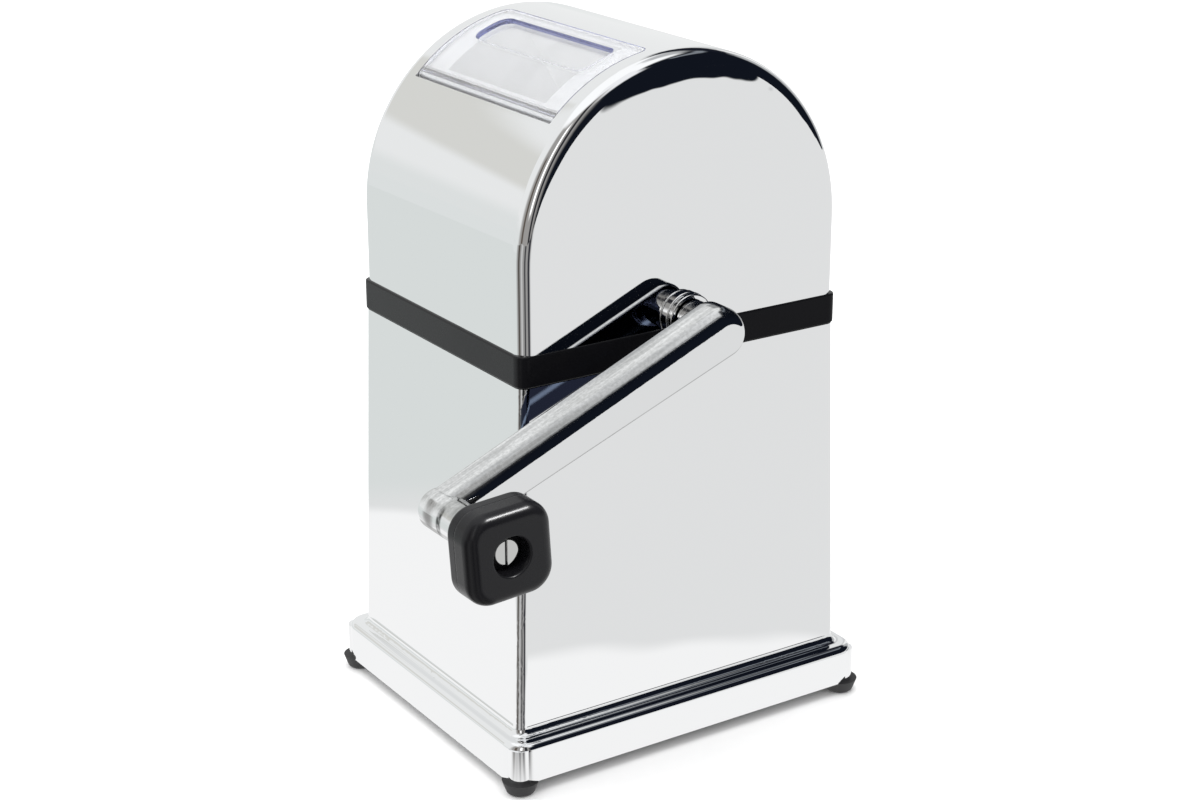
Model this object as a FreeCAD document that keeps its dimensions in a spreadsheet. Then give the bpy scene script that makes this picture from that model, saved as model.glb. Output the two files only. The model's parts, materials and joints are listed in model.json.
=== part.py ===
import FreeCAD, Part
import math
import os

import Sketcher

# Hand-cranked ice crusher: a chromed casing with a domed head that lifts off, a clear hinged
# lid, a toothed rotor turned by a crank on the front, and an ice bin inside the casing.
#
# Frame, in millimetres: the origin is on the table under the middle of the base flange, +Z is up,
# the crank is on the front (-Y) and the lid is on the left (-X) shoulder of the dome.

DIMENSIONS = (
    # base flange and lower casing
    ("foot_height", 5.1),
    ("flange_half_x", 78.2),
    ("flange_half_y", 65.9),
    ("flange_corner", 8.5),
    ("flange_top", 20.2),
    ("flange_wall", 2.6),
    ("shoulder_radius", 2.7),
    ("cove_radius", 3.0),
    ("casing_foot_half_x", 72.3),
    ("casing_foot_half_y", 58.3),
    ("casing_half_x", 68.3),
    ("casing_half_y", 56.25),
    ("casing_corner", 3.6),
    ("casing_top", 150.5),
    ("casing_wall", 2.4),
    ("casing_inner_corner", 1.4),
    ("post_radius", 4.6),
    ("post_lap", 0.5),
    ("post_hole_end", 1.0),
    ("post_x", 50.0),
    ("post_y", 45.0),
    # feet and screws
    ("foot_x", 73.2),
    ("foot_y", 60.9),
    ("foot_top_radius", 6.8),
    ("foot_tread_radius", 5.0),
    ("foot_recess_radius", 2.7),
    ("foot_recess_depth", 2.4),
    ("foot_edge", 1.7),
    ("screw_radius", 1.4),
    ("screw_head_radius", 2.5),
    ("screw_head_height", 1.4),
    ("lower_screw_tip", 14.0),
    ("dome_screw_tip", 178.0),
    # underside plate
    ("plate_gap", 0.4),
    ("plate_corner", 20.0),
    ("plate_bottom", 5.7),
    ("plate_thickness", 2.2),
    # ice bin
    ("bin_half_x", 60.0),
    ("bin_half_y", 47.5),
    ("bin_foot_half_x", 58.0),
    ("bin_foot_half_y", 45.5),
    ("bin_corner", 7.0),
    ("bin_top", 129.0),
    ("bin_wall", 1.8),
    ("bin_rim_width", 2.6),
    ("bin_rim_thickness", 2.0),
    # black band between casing and head
    ("band_bottom", 150.8),
    ("band_top", 162.2),
    ("band_overhang", 0.6),
    ("band_corner", 4.2),
    ("band_wall", 2.6),
    ("band_edge", 0.7),
    ("band_inner_corner", 1.6),
    ("band_notch_gap", 0.3),
    # chassis plate that carries the crusher
    ("deck_bottom", 151.0),
    ("deck_top", 154.0),
    ("spigot_gap", 0.45),
    ("spigot_wall", 2.0),
    ("spigot_bottom", 143.0),
    ("spigot_corner", 1.5),
    ("spigot_inner_corner", 1.0),
    ("deck_opening_gap", 0.4),
    ("deck_opening_corner", 0.5),
    ("pillar_x", 57.0),
    ("pillar_y", 45.0),
    ("pillar_radius", 4.2),
    ("pillar_top", 166.0),
    # domed head
    ("dome_radius", 68.0),
    ("spring_line", 192.0),
    ("dome_half_y", 56.25),
    ("dome_wall", 2.5),
    ("rim_radius", 5.2),
    ("dome_post_top", 182.0),
    ("dome_post_half", 4.0),
    ("dome_post_lap", 1.0),
    ("dome_hole_end", 3.0),
    # lid window, lid and hinge; angles are about the dome axis, from +X
    ("window_half_y", 46.0),
    ("window_upper_angle", 97.5),
    ("window_lower_angle", 136.6),
    ("window_cut_inside", 6.0),
    ("window_cut_outside", 4.0),
    ("window_corner", 3.6),
    ("lid_gap", 0.4),
    ("lid_thickness", 3.2),
    ("lid_corner", 3.2),
    ("hinge_angle", 134.25),
    ("hinge_offset", 65.6),
    ("barrel_radius", 2.3),
    ("pin_radius", 1.0),
    ("pin_clearance", 0.06),
    ("pin_half_length", 50.0),
    ("lug_half_outer", 50.5),
    ("grip_half_y", 36.6),
    ("grip_upper_angle", 103.0),
    ("grip_lower_angle", 117.0),
    ("grip_depth", 2.0),
    ("grip_corner", 4.5),
    # hopper and crushing chamber
    ("chamber_half_x", 27.0),
    ("chamber_half_y", 33.0),
    ("chamber_wall", 2.2),
    ("chamber_top", 196.0),
    ("chamber_bottom", 134.0),
    ("collar_outer", 64.4),
    ("collar_thickness", 2.3),
    ("collar_bed", 0.9),
    ("collar_lower_lap", 0.6),
    ("collar_upper_lap", 2.0),
    ("collar_half_y", 49.0),
    ("collar_upper_angle", 94.0),
    ("collar_lower_angle", 131.4),
    ("mouth_upper_angle", 101.0),
    ("mouth_lower_angle", 129.0),
    ("hopper_flange_half_x", 38.0),
    ("hopper_flange_half_y", 41.0),
    ("hopper_flange_thickness", 2.4),
    ("hopper_flange_corner", 3.0),
    # shaft, bushes and rotor
    ("shaft_height", 165.2),
    ("shaft_radius", 5.0),
    ("shaft_front", 74.0),
    ("shaft_rear", 42.0),
    ("running_clearance", 0.06),
    ("bush_radius", 7.0),
    ("bush_flange_radius", 8.6),
    ("bush_flange", 2.0),
    ("clip_gap", 0.8),
    ("clip_thickness", 1.2),
    ("clip_radius", 7.6),
    ("blade_count", 4),
    ("blade_pitch", 14.0),
    ("blade_thickness", 3.0),
    ("blade_tip_radius", 22.0),
    ("blade_root_radius", 11.0),
    ("blade_tooth_lead", 34.0),
    ("blade_tooth_land", 8.0),
    ("spacer_radius", 7.5),
    ("spacer_end", 32.4),
    ("comb_plate", 2.0),
    ("comb_tooth_thickness", 2.5),
    ("comb_tip_gap", 2.0),
    ("comb_end_gap", 0.5),
    ("comb_lap", 0.5),
    ("comb_root_below", 6.0),
    ("comb_root_above", 7.0),
    ("comb_tip_below", 1.5),
    ("comb_tip_above", 2.0),
    ("comb_bottom", 157.5),
    ("comb_top", 177.0),
    # boss around the shaft on the front of the head
    ("boss_radius", 9.2),
    ("boss_front", 60.4),
    ("boss_spigot_radius", 7.5),
    ("boss_spigot_end", 52.0),
    ("boss_groove_depth", 0.9),
    ("boss_groove_half_width", 0.35),
    ("boss_lip_step", 0.3),
    ("boss_edge", 0.45),
    ("boss_hole_depth", 5.0),
    # crank
    ("crank_angle", 22.0),
    ("arm_length", 117.3),
    ("arm_back", 67.6),
    ("arm_thickness", 14.2),
    ("arm_half_width", 8.7),
    ("arm_tip_half_width", 6.8),
    ("arm_top_fillet", 6.2),
    ("arm_under_fillet", 1.6),
    ("arm_back_fillet", 1.8),
    ("hub_radius", 7.2),
    ("hub_back", 61.2),
    ("hub_lap", 3.0),
    ("set_screw_radius", 1.6),
    ("end_boss_radius", 7.2),
    ("end_boss_back", 66.6),
    ("end_boss_front", 102.0),
    ("end_boss_fillet", 2.6),
    # knob and its spindle
    ("knob_back", 102.8),
    ("knob_thickness", 14.0),
    ("knob_half", 15.85),
    ("knob_corner", 8.9),
    ("knob_front_fillet", 4.2),
    ("knob_back_fillet", 2.0),
    ("knob_twist", 3.9),
    ("recess_radius", 6.7),
    ("recess_depth", 7.0),
    ("recess_edge", 0.8),
    ("spindle_radius", 3.2),
    ("spindle_root", 82.0),
    ("spindle_shank_radius", 2.4),
    ("spindle_head_radius", 4.3),
    ("spindle_head_height", 2.6),
    ("spindle_head_edge", 0.4),
    ("spindle_end_play", 0.4),
    ("spindle_slot_width", 1.0),
    ("spindle_slot_depth", 1.1),
)

PARTS_FOLDER = "parts"
NUDGE = 1.0             # how far cutting shapes run past the face that they open
TOUCH = 0.1             # slack when an edge is looked for by its place
BLADE_TEETH = 5
FRONT = FreeCAD.Rotation(FreeCAD.Vector(1, 0, 0), 90)      # a cylinder's +Z turned to -Y
Y_AXIS = FreeCAD.Vector(0, 1, 0)

doc = FreeCAD.newDocument("IceCrusher")


# ---------------------------------------------------------------- sizes with their formulas

class Size:
    """A length or angle from the sheet, or a sum of such, with the formula that gives it."""

    def __init__(self, value, formula):
        self.value = float(value)
        self.formula = formula

    def __add__(self, other):
        other = as_size(other)
        return Size(self.value + other.value, f"({self.formula} + {other.formula})")

    def __sub__(self, other):
        other = as_size(other)
        return Size(self.value - other.value, f"({self.formula} - {other.formula})")

    def __mul__(self, other):
        other = as_size(other)
        return Size(self.value * other.value, f"({self.formula} * {other.formula})")

    def __neg__(self):
        return Size(-self.value, f"(-1 * {self.formula})")


def as_size(number):
    return number if isinstance(number, Size) else Size(number, repr(float(number)))


def cosine(angle):
    return Size(math.cos(math.radians(angle.value)), f"cos({angle.formula})")


def sine(angle):
    return Size(math.sin(math.radians(angle.value)), f"sin({angle.formula})")


class Sheet:
    """The spreadsheet of driving dimensions; each alias reads as an attribute."""

    def __init__(self, rows):
        sheet = doc.addObject("Spreadsheet::Sheet", "Dims")
        for row, (alias, value) in enumerate(rows, start=1):
            sheet.set(f"A{row}", alias.replace("_", " "))
            sheet.set(f"B{row}", str(value))
            sheet.setAlias(f"B{row}", alias)
            setattr(self, alias, Size(value, f"Dims.{alias}"))
        doc.recompute()


d = Sheet(DIMENSIONS)


def on_dome(radius, angle):
    """X and Z of a point at a radius and angle about the dome's axis."""
    return radius * cosine(angle), d.spring_line + radius * sine(angle)


# ---------------------------------------------------------------- sketches

def new_body(label):
    body = doc.addObject("PartDesign::Body", label)
    body.Label = label
    return body


def sketch_on(body, role, name, offset=None):
    """A sketch on one of the body's own origin planes, moved along its normal by offset.

    On XZ_Plane the sketch's axes are +X and +Z and its normal is -Y, towards the front.
    """
    sketch = body.newObject("Sketcher::SketchObject", name)
    plane = next(item for item in body.Origin.OriginFeatures if item.Role == role)
    sketch.AttachmentSupport = [(plane, "")]
    sketch.MapMode = "FlatFace"
    if offset is not None:
        sketch.setExpression("AttachmentOffset.Base.z", as_size(offset).formula)
    return sketch


def bind_constraint(sketch, kind, arguments, size):
    """Add a dimension and bind it to its formula; a negative one is measured the other way."""
    value, formula = size.value, size.formula
    if value < 0:
        first, second = arguments[:2], arguments[2:]
        arguments = second + first
        value, formula = -value, f"(-1 * {formula})"
    index = sketch.addConstraint(Sketcher.Constraint(kind, *arguments, value))
    sketch.setExpression(f"Constraints[{index}]", formula)


def fix_point(sketch, geometry, point, x=None, y=None):
    if x is not None:
        bind_constraint(sketch, "DistanceX", (-1, 1, geometry, point), as_size(x))
    if y is not None:
        bind_constraint(sketch, "DistanceY", (-1, 1, geometry, point), as_size(y))


def fix_radius(sketch, geometry, radius):
    index = sketch.addConstraint(Sketcher.Constraint("Radius", geometry, radius.value))
    sketch.setExpression(f"Constraints[{index}]", radius.formula)


def vector(x, y):
    return FreeCAD.Vector(as_size(x).value, as_size(y).value, 0)


def add_polygon(sketch, corners):
    count = len(corners)
    first = sketch.GeometryCount
    for index, corner in enumerate(corners):
        following = corners[(index + 1) % count]
        sketch.addGeometry(Part.LineSegment(vector(*corner), vector(*following)), False)
    for index in range(count):
        after = first + (index + 1) % count
        sketch.addConstraint(Sketcher.Constraint("Coincident", first + index, 2, after, 1))
    for index, (x, y) in enumerate(corners):
        fix_point(sketch, first + index, 1, x, y)


def add_circle(sketch, x, y, radius):
    axis = FreeCAD.Vector(0, 0, 1)
    circle = sketch.addGeometry(Part.Circle(vector(x, y), axis, radius.value), False)
    fix_point(sketch, circle, 3, x, y)
    fix_radius(sketch, circle, radius)


def arc(x, y, radius, start, end):
    circle = Part.Circle(vector(x, y), FreeCAD.Vector(0, 0, 1), radius)
    return Part.ArcOfCircle(circle, math.radians(start), math.radians(end))


def add_rounded_rectangle(sketch, half_x, half_y, radius):
    """Centred on the sketch's origin; the corners' arcs share one radius."""
    first = sketch.GeometryCount
    x, y, r = half_x.value, half_y.value, radius.value
    sides = (((r - x, -y), (x - r, -y)), ((x, r - y), (x, y - r)),
             ((x - r, y), (r - x, y)), ((-x, y - r), (-x, r - y)))
    for start, end in sides:
        sketch.addGeometry(Part.LineSegment(vector(*start), vector(*end)), False)
    centres = ((x - r, r - y, 270), (x - r, y - r, 0), (r - x, y - r, 90), (r - x, r - y, 180))
    for centre_x, centre_y, start in centres:
        sketch.addGeometry(arc(centre_x, centre_y, r, start, start + 90), False)
    for corner in range(4):
        side, after, bend = first + corner, first + (corner + 1) % 4, first + 4 + corner
        sketch.addConstraint(Sketcher.Constraint("Tangent", side, 2, bend, 1))
        sketch.addConstraint(Sketcher.Constraint("Tangent", bend, 2, after, 1))
        sketch.addConstraint(Sketcher.Constraint("Horizontal" if corner % 2 == 0 else "Vertical", side))
    for corner in range(1, 4):
        sketch.addConstraint(Sketcher.Constraint("Equal", first + 4, first + 4 + corner))
    fix_point(sketch, first, 1, y=-half_y)
    fix_point(sketch, first + 1, 1, x=half_x)
    fix_point(sketch, first + 2, 1, y=half_y)
    fix_point(sketch, first + 3, 1, x=-half_x)
    fix_radius(sketch, first + 4, radius)


def add_arch(sketch, radius, bottom):
    """A half-round top on straight sides, for the dome's outside and inside."""
    spring = d.spring_line
    r, z = radius.value, spring.value
    sketch.addGeometry(Part.LineSegment(vector(r, bottom), vector(r, z)), False)
    sketch.addGeometry(arc(0, z, r, 0, 180), False)
    sketch.addGeometry(Part.LineSegment(vector(-r, z), vector(-r, bottom)), False)
    sketch.addGeometry(Part.LineSegment(vector(-r, bottom), vector(r, bottom)), False)
    sketch.addConstraint(Sketcher.Constraint("Tangent", 0, 2, 1, 1))
    sketch.addConstraint(Sketcher.Constraint("Tangent", 1, 2, 2, 1))
    sketch.addConstraint(Sketcher.Constraint("Coincident", 2, 2, 3, 1))
    sketch.addConstraint(Sketcher.Constraint("Coincident", 3, 2, 0, 1))
    sketch.addConstraint(Sketcher.Constraint("Vertical", 0))
    sketch.addConstraint(Sketcher.Constraint("Horizontal", 3))
    fix_point(sketch, 1, 3, 0, spring)
    fix_radius(sketch, 1, radius)
    fix_point(sketch, 3, 1, y=bottom)


def add_tapered_bar(sketch, length, start_radius, end_radius):
    """Two round ends joined by tangent sides, from the origin along -X."""
    span, big, small = length.value, start_radius.value, end_radius.value
    lean = math.degrees(math.acos((big - small) / span))
    sketch.addGeometry(arc(0, 0, big, lean - 180, 180 - lean), False)
    sketch.addGeometry(arc(-span, 0, small, 180 - lean, 180 + lean), False)
    near, far = math.radians(180 - lean), math.radians(180 + lean)
    for angle in (near, far):
        start = vector(big * math.cos(angle), big * math.sin(angle))
        end = vector(small * math.cos(angle) - span, small * math.sin(angle))
        sketch.addGeometry(Part.LineSegment(start, end), False)
    sketch.addConstraint(Sketcher.Constraint("Tangent", 0, 2, 2, 1))
    sketch.addConstraint(Sketcher.Constraint("Tangent", 2, 2, 1, 1))
    sketch.addConstraint(Sketcher.Constraint("Tangent", 1, 2, 3, 2))
    sketch.addConstraint(Sketcher.Constraint("Tangent", 3, 1, 0, 1))
    fix_point(sketch, 0, 3, 0, 0)
    fix_point(sketch, 1, 3, -length, 0)
    fix_radius(sketch, 0, start_radius)
    fix_radius(sketch, 1, end_radius)


# ---------------------------------------------------------------- features

def extrude(body, kind, sketch, length, midplane=False, reverse=False):
    """A Pad or Pocket of a sketch; a Pad follows the sketch's normal, a Pocket opposes it."""
    feature = body.newObject(f"PartDesign::{kind}", sketch.Name + kind)
    feature.Profile = sketch
    feature.SideType = "Symmetric" if midplane else "One side"
    feature.Reversed = reverse
    feature.setExpression("Length", as_size(length).formula)
    sketch.Visibility = False
    doc.recompute()
    return feature


def pad(body, sketch, length, **options):
    return extrude(body, "Pad", sketch, length, **options)


def pocket(body, sketch, length, **options):
    before = body.Shape.Volume
    feature = extrude(body, "Pocket", sketch, length, **options)
    if body.Shape.Volume >= before:
        raise RuntimeError(f"{feature.Name} in {body.Label} cuts nothing")
    return feature


def loft(body, kind, lower, upper):
    feature = body.newObject(f"PartDesign::{kind}", lower.Name + kind)
    feature.Profile = lower
    feature.Sections = [upper]
    feature.Ruled = True
    doc.recompute()
    return feature


def edge_names(shape, wanted):
    """Names of the shape's edges whose middle point passes the test."""
    names = []
    for index, edge in enumerate(shape.Edges, start=1):
        middle = edge.valueAt((edge.FirstParameter + edge.LastParameter) / 2)
        if wanted(edge, middle):
            names.append(f"Edge{index}")
    if not names:
        raise RuntimeError("no edge passes the test")
    return names


def fillet(body, radius, wanted):
    base = body.Tip
    feature = body.newObject("PartDesign::Fillet", "Fillet")
    feature.Base = (base, edge_names(base.Shape, wanted))
    feature.setExpression("Radius", as_size(radius).formula)
    doc.recompute()
    return feature


def near(first, second, tolerance=0.02):
    return abs(first - second) < tolerance


def round_trip(radius):
    """Length of a circle's edge."""
    return 2 * math.pi * radius.value


# ---------------------------------------------------------------- primitives

def place(item, x=0, y=0, z=0, rotation=None):
    if rotation is not None:
        item.Placement = FreeCAD.Placement(FreeCAD.Vector(), rotation)
    for axis, value in (("x", x), ("y", y), ("z", z)):
        item.setExpression(f"Placement.Base.{axis}", as_size(value).formula)
    return item


def cylinder(name, radius, height, x=0, y=0, z=0, rotation=None):
    item = doc.addObject("Part::Cylinder", name)
    item.setExpression("Radius", as_size(radius).formula)
    item.setExpression("Height", as_size(height).formula)
    return place(item, x, y, z, rotation)


def front_cylinder(name, radius, back, front, x=0, z=0):
    """A cylinder along Y, given by how far its two ends stand in front of the XZ plane."""
    return cylinder(name, radius, as_size(front) - back, x, -as_size(back), z, FRONT)


def box(name, size, corner):
    item = doc.addObject("Part::Box", name)
    for prop, value in zip(("Length", "Width", "Height"), size):
        item.setExpression(prop, as_size(value).formula)
    return place(item, *corner)


def cut(name, base, tool):
    item = doc.addObject("Part::Cut", name)
    item.Base = base
    item.Tool = tool
    return item


def fuse(name, shapes):
    item = doc.addObject("Part::MultiFuse", name)
    item.Shapes = shapes
    return item


def group(label, shapes):
    item = doc.addObject("Part::Compound", label)
    item.Links = shapes
    item.Label = label
    return item


def round_edges(label, base, radius, wanted):
    doc.recompute()
    item = doc.addObject("Part::Fillet", label)
    item.Base = base
    names = edge_names(base.Shape, wanted)
    item.Edges = [(int(name[4:]), radius.value, radius.value) for name in names]
    item.Label = label
    return item


def tube(name, outer, inner, back, front, x=0, z=0):
    """A bush-like ring along Y, given by its two ends' distances in front of the XZ plane."""
    body = front_cylinder(name + "_body", outer, back, front, x, z)
    bore = front_cylinder(name + "_bore", inner, as_size(back) - NUDGE, as_size(front) + NUDGE, x, z)
    return cut(name, body, bore)


def four_corners(x, y):
    """The four mirror positions of one corner, each with a name a person would use."""
    for side_y, depth in ((-y, "front"), (y, "rear")):
        for side_x, side in ((-x, "left"), (x, "right")):
            yield f"{depth}_{side}", side_x, side_y


# ---------------------------------------------------------------- base and casing

def make_lower_casing():
    """Tapered chromed casing with its base flange, one floor and open at the top."""
    body = new_body("lower_casing")
    flange = sketch_on(body, "XY_Plane", "FlangeOutline", d.foot_height)
    add_rounded_rectangle(flange, d.flange_half_x, d.flange_half_y, d.flange_corner)
    pad(body, flange, d.flange_top - d.foot_height)
    top = d.flange_top.value
    fillet(body, d.shoulder_radius, lambda edge, at: near(at.z, top))

    foot = sketch_on(body, "XY_Plane", "CasingFoot", d.flange_top)
    add_rounded_rectangle(foot, d.casing_foot_half_x, d.casing_foot_half_y, d.casing_corner)
    mouth = sketch_on(body, "XY_Plane", "CasingMouth", d.casing_top)
    add_rounded_rectangle(mouth, d.casing_half_x, d.casing_half_y, d.casing_corner)
    loft(body, "AdditiveLoft", foot, mouth)
    limit_x = d.casing_foot_half_x.value + TOUCH
    limit_y = d.casing_foot_half_y.value + TOUCH

    def on_cove(edge, at):
        return near(at.z, top) and abs(at.x) < limit_x and abs(at.y) < limit_y

    fillet(body, d.cove_radius, on_cove)

    wall = d.casing_wall
    corner = d.casing_inner_corner
    inner_foot = sketch_on(body, "XY_Plane", "CavityFloor", d.flange_top)
    add_rounded_rectangle(inner_foot, d.casing_foot_half_x - wall, d.casing_foot_half_y - wall, corner)
    inner_mouth = sketch_on(body, "XY_Plane", "CavityMouth", d.casing_top)
    add_rounded_rectangle(inner_mouth, d.casing_half_x - wall, d.casing_half_y - wall, corner)
    loft(body, "SubtractiveLoft", inner_foot, inner_mouth)

    under = sketch_on(body, "XY_Plane", "UndersideHollow", d.foot_height)
    inset = d.flange_wall
    add_rounded_rectangle(under, d.flange_half_x - inset, d.flange_half_y - inset, d.flange_corner - inset)
    hollow = d.flange_top - d.flange_wall - d.foot_height
    pocket(body, under, hollow, reverse=True)

    posts = sketch_on(body, "XY_Plane", "FootPosts", d.foot_height)
    for _, x, y in four_corners(d.foot_x, d.foot_y):
        add_circle(posts, x, y, d.post_radius)
    pad(body, posts, hollow + d.post_lap)
    plate_top = d.plate_bottom + d.plate_thickness
    plate_posts = sketch_on(body, "XY_Plane", "PlatePosts", plate_top)
    for _, x, y in four_corners(d.post_x, d.post_y):
        add_circle(plate_posts, x, y, d.post_radius)
    pad(body, plate_posts, d.flange_top - d.flange_wall - plate_top + d.post_lap)

    holes = sketch_on(body, "XY_Plane", "ScrewHoles", d.foot_height)
    for place_x, place_y in ((d.foot_x, d.foot_y), (d.post_x, d.post_y)):
        for _, x, y in four_corners(place_x, place_y):
            add_circle(holes, x, y, d.screw_radius)
    pocket(body, holes, hollow - d.post_hole_end, reverse=True)
    return body


def make_foot(name, x, y):
    """Rubber foot: a cone with a recess for its screw, narrowest at the table."""
    cone = doc.addObject("Part::Cone", name + "_cone")
    cone.setExpression("Radius1", d.foot_tread_radius.formula)
    cone.setExpression("Radius2", d.foot_top_radius.formula)
    cone.setExpression("Height", d.foot_height.formula)
    place(cone, x, y)
    recess = cylinder(name + "_recess", d.foot_recess_radius, d.foot_recess_depth + NUDGE, x, y, -NUDGE)
    bore = cylinder(name + "_bore", d.screw_radius, d.foot_height + 2 * NUDGE, x, y, -NUDGE)
    drilled = cut(name + "_drilled", cone, fuse(name + "_holes", [recess, bore]))
    rim = round_trip(d.foot_tread_radius)

    def on_tread(edge, at):
        return near(at.z, 0) and near(edge.Length, rim)

    return round_edges(name, drilled, d.foot_edge, on_tread)


def make_screw(name, x, y, head_bottom, shank_top):
    """A pan-head screw pointing up."""
    head = cylinder(name + "_head", d.screw_head_radius, d.screw_head_height, x, y, head_bottom)
    shank_bottom = as_size(head_bottom) + d.screw_head_height
    shank = cylinder(name + "_shank", d.screw_radius, as_size(shank_top) - shank_bottom, x, y, shank_bottom)
    return fuse(name, [head, shank])


def make_screw_group(label, x, y, head_bottom, shank_top):
    screws = []
    for corner, at_x, at_y in four_corners(x, y):
        screws.append(make_screw(f"{label}_{corner}", at_x, at_y, head_bottom, shank_top))
    return group(label, screws)


def make_feet():
    feet = [make_foot("foot_" + corner, x, y) for corner, x, y in four_corners(d.foot_x, d.foot_y)]
    head_bottom = d.foot_recess_depth - d.screw_head_height
    return feet + [make_screw_group("foot_screws", d.foot_x, d.foot_y, head_bottom,
                                     d.lower_screw_tip)]


def make_bottom_plate():
    """Black plate that closes the hollow under the base flange."""
    body = new_body("bottom_plate")
    outline = sketch_on(body, "XY_Plane", "PlateOutline", d.plate_bottom)
    inset = d.flange_wall + d.plate_gap
    add_rounded_rectangle(outline, d.flange_half_x - inset, d.flange_half_y - inset, d.plate_corner)
    pad(body, outline, d.plate_thickness)
    holes = sketch_on(body, "XY_Plane", "PlateHoles", d.plate_bottom)
    for _, x, y in four_corners(d.post_x, d.post_y):
        add_circle(holes, x, y, d.screw_radius)
    pocket(body, holes, d.plate_thickness, reverse=True)
    head_bottom = d.plate_bottom - d.screw_head_height
    screws = make_screw_group("plate_screws", d.post_x, d.post_y, head_bottom, d.lower_screw_tip)
    return [body, screws]


def make_ice_bin():
    """Tapered inner bin with an outward rim, standing on the casing's floor."""
    body = new_body("ice_bin")
    floor = d.flange_top
    rim = sketch_on(body, "XY_Plane", "BinRim", d.bin_top - d.bin_rim_thickness)
    add_rounded_rectangle(rim, d.bin_half_x + d.bin_rim_width, d.bin_half_y + d.bin_rim_width, d.bin_corner)
    pad(body, rim, d.bin_rim_thickness)
    foot = sketch_on(body, "XY_Plane", "BinFoot", floor)
    add_rounded_rectangle(foot, d.bin_foot_half_x, d.bin_foot_half_y, d.bin_corner)
    mouth = sketch_on(body, "XY_Plane", "BinMouth", d.bin_top)
    add_rounded_rectangle(mouth, d.bin_half_x, d.bin_half_y, d.bin_corner)
    loft(body, "AdditiveLoft", foot, mouth)
    wall = d.bin_wall
    inner_foot = sketch_on(body, "XY_Plane", "BinInnerFoot", floor + wall)
    inner_corner = d.bin_corner - wall
    add_rounded_rectangle(inner_foot, d.bin_foot_half_x - wall, d.bin_foot_half_y - wall, inner_corner)
    inner_mouth = sketch_on(body, "XY_Plane", "BinInnerMouth", d.bin_top)
    add_rounded_rectangle(inner_mouth, d.bin_half_x - wall, d.bin_half_y - wall, inner_corner)
    loft(body, "SubtractiveLoft", inner_foot, inner_mouth)
    return body


# ---------------------------------------------------------------- head

def make_seam_band():
    """Black band that covers the joint between casing and head, notched for the shaft's boss."""
    body = new_body("seam_band")
    outer_x = d.casing_half_x + d.band_overhang
    outer_y = d.casing_half_y + d.band_overhang
    outline = sketch_on(body, "XY_Plane", "BandOutline", d.band_bottom)
    add_rounded_rectangle(outline, outer_x, outer_y, d.band_corner)
    pad(body, outline, d.band_top - d.band_bottom)
    levels = (d.band_bottom.value, d.band_top.value)
    fillet(body, d.band_edge, lambda edge, at: any(near(at.z, level) for level in levels))
    hollow = sketch_on(body, "XY_Plane", "BandHollow", d.band_bottom)
    corner = d.band_inner_corner
    add_rounded_rectangle(hollow, outer_x - d.band_wall, outer_y - d.band_wall, corner)
    pocket(body, hollow, d.band_top - d.band_bottom, reverse=True)
    notch = sketch_on(body, "XZ_Plane", "BossNotch", outer_y + NUDGE)
    add_circle(notch, 0, d.shaft_height, d.boss_radius + d.band_notch_gap)
    pocket(body, notch, d.band_wall + NUDGE * 2)
    return body


def make_chassis():
    """Deck inside the band with a skirt that enters the casing and pillars for the dome."""
    body = new_body("chassis")
    inset = d.casing_wall + d.spigot_gap
    skirt_x = d.casing_half_x - inset
    skirt_y = d.casing_half_y - inset
    skirt = sketch_on(body, "XY_Plane", "SkirtOutline", d.spigot_bottom)
    add_rounded_rectangle(skirt, skirt_x, skirt_y, d.spigot_corner)
    pad(body, skirt, d.deck_top - d.spigot_bottom)
    deck = sketch_on(body, "XY_Plane", "DeckOutline", d.deck_bottom)
    reach = d.band_overhang - d.band_wall
    add_rounded_rectangle(deck, d.casing_half_x + reach, d.casing_half_y + reach, d.band_inner_corner)
    pad(body, deck, d.deck_top - d.deck_bottom)
    hollow = sketch_on(body, "XY_Plane", "SkirtHollow", d.spigot_bottom)
    wall = d.spigot_wall
    add_rounded_rectangle(hollow, skirt_x - wall, skirt_y - wall, d.spigot_inner_corner)
    pocket(body, hollow, d.deck_bottom - d.spigot_bottom, reverse=True)
    pillars = sketch_on(body, "XY_Plane", "Pillars", d.deck_bottom)
    for _, x, y in four_corners(d.pillar_x, d.pillar_y):
        add_circle(pillars, x, y, d.pillar_radius)
    pad(body, pillars, d.pillar_top - d.deck_bottom)
    opening = sketch_on(body, "XY_Plane", "DeckOpening", d.deck_bottom)
    reach = d.chamber_wall + d.deck_opening_gap
    corner = d.deck_opening_corner
    add_rounded_rectangle(opening, d.chamber_half_x + reach, d.chamber_half_y + reach, corner)
    pocket(body, opening, d.deck_top - d.deck_bottom, reverse=True)
    holes = sketch_on(body, "XY_Plane", "PillarHoles", d.deck_bottom)
    for _, x, y in four_corners(d.pillar_x, d.pillar_y):
        add_circle(holes, x, y, d.screw_radius)
    pocket(body, holes, d.pillar_top - d.deck_bottom, reverse=True)
    return body


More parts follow.
